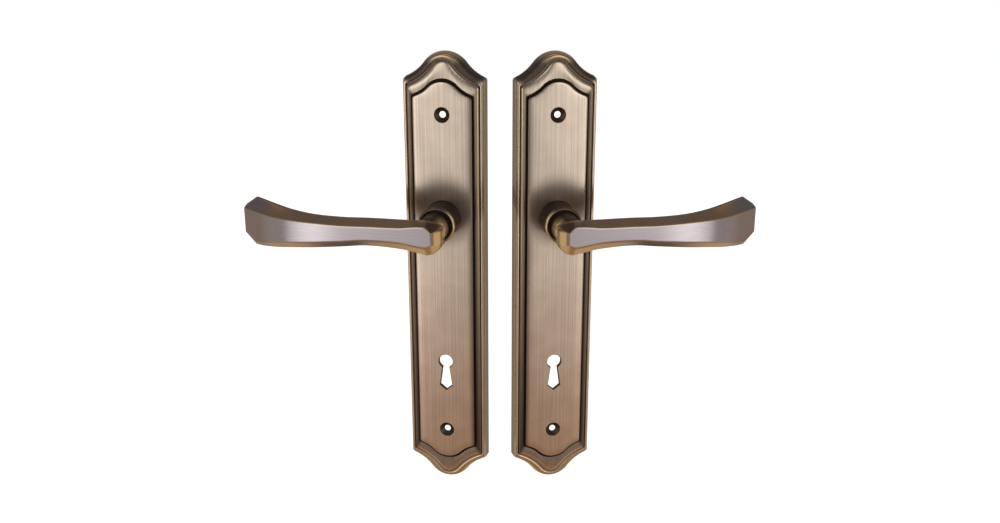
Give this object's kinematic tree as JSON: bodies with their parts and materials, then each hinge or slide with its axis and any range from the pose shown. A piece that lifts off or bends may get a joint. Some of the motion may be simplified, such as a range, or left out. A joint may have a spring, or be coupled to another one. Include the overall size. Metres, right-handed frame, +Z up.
{
  "type": "lever handle lockset",
  "caption": "Pair of sprung lever handles on long moulded backplates with keyholes, fixing holes and a square spindle.",
  "frame": {"origin": "middle of the pair, on the line of the plates' back faces, at the height of the two spindle axes", "axes": "+X from the left handle to the right one, -Y out of the door towards the user, +Z up"},
  "size_m": [0.2742, 0.1174, 0.25],
  "materials": {
    "antique_bronze": "brushed and relieved antique bronze plate",
    "zinc_steel": "bright zinc plate",
    "nylon": "black moulded nylon"
  },
  "bodies": {
    "plates": {"left_backplate": "antique_bronze", "left_boss_collar": "antique_bronze", "left_neck_bush": "nylon", "left_spring_cup": "zinc_steel", "left_return_spring": "zinc_steel", "left_cup_cover": "zinc_steel", "left_upper_cup_screw": "zinc_steel", "left_lower_cup_screw": "zinc_steel", "right_backplate": "antique_bronze", "right_boss_collar": "antique_bronze", "right_neck_bush": "nylon", "right_spring_cup": "zinc_steel", "right_return_spring": "zinc_steel", "right_cup_cover": "zinc_steel", "right_upper_cup_screw": "zinc_steel", "right_lower_cup_screw": "zinc_steel"},
    "left_lever_group": {"left_lever": "antique_bronze", "left_drive_disc": "zinc_steel", "left_thrust_washer": "nylon", "left_circlip": "zinc_steel", "left_grub_screw": "zinc_steel", "spindle": "zinc_steel"},
    "right_lever_group": {"right_lever": "antique_bronze", "right_drive_disc": "zinc_steel", "right_thrust_washer": "nylon", "right_circlip": "zinc_steel", "right_grub_screw": "zinc_steel"}
  },
  "joints": [
    {"name": "left_lever_turn", "type": "hinge", "parent": "plates", "child": "left_lever_group", "pos_m": [-0.0289, 0, 0], "axis": [-0.1994, -0.9799, 0], "range_deg": [0, 45], "stiffness_Nm_per_rad": 0.6, "springref_deg": -34.38, "deforming": ["left_return_spring"]},
    {"name": "right_lever_turn", "type": "hinge", "parent": "plates", "child": "right_lever_group", "pos_m": [0.0289, 0, 0], "axis": [-0.1994, 0.9799, 0], "range_deg": [0, 45], "stiffness_Nm_per_rad": 0.6, "springref_deg": -34.38, "deforming": ["right_return_spring"]}
  ]
}
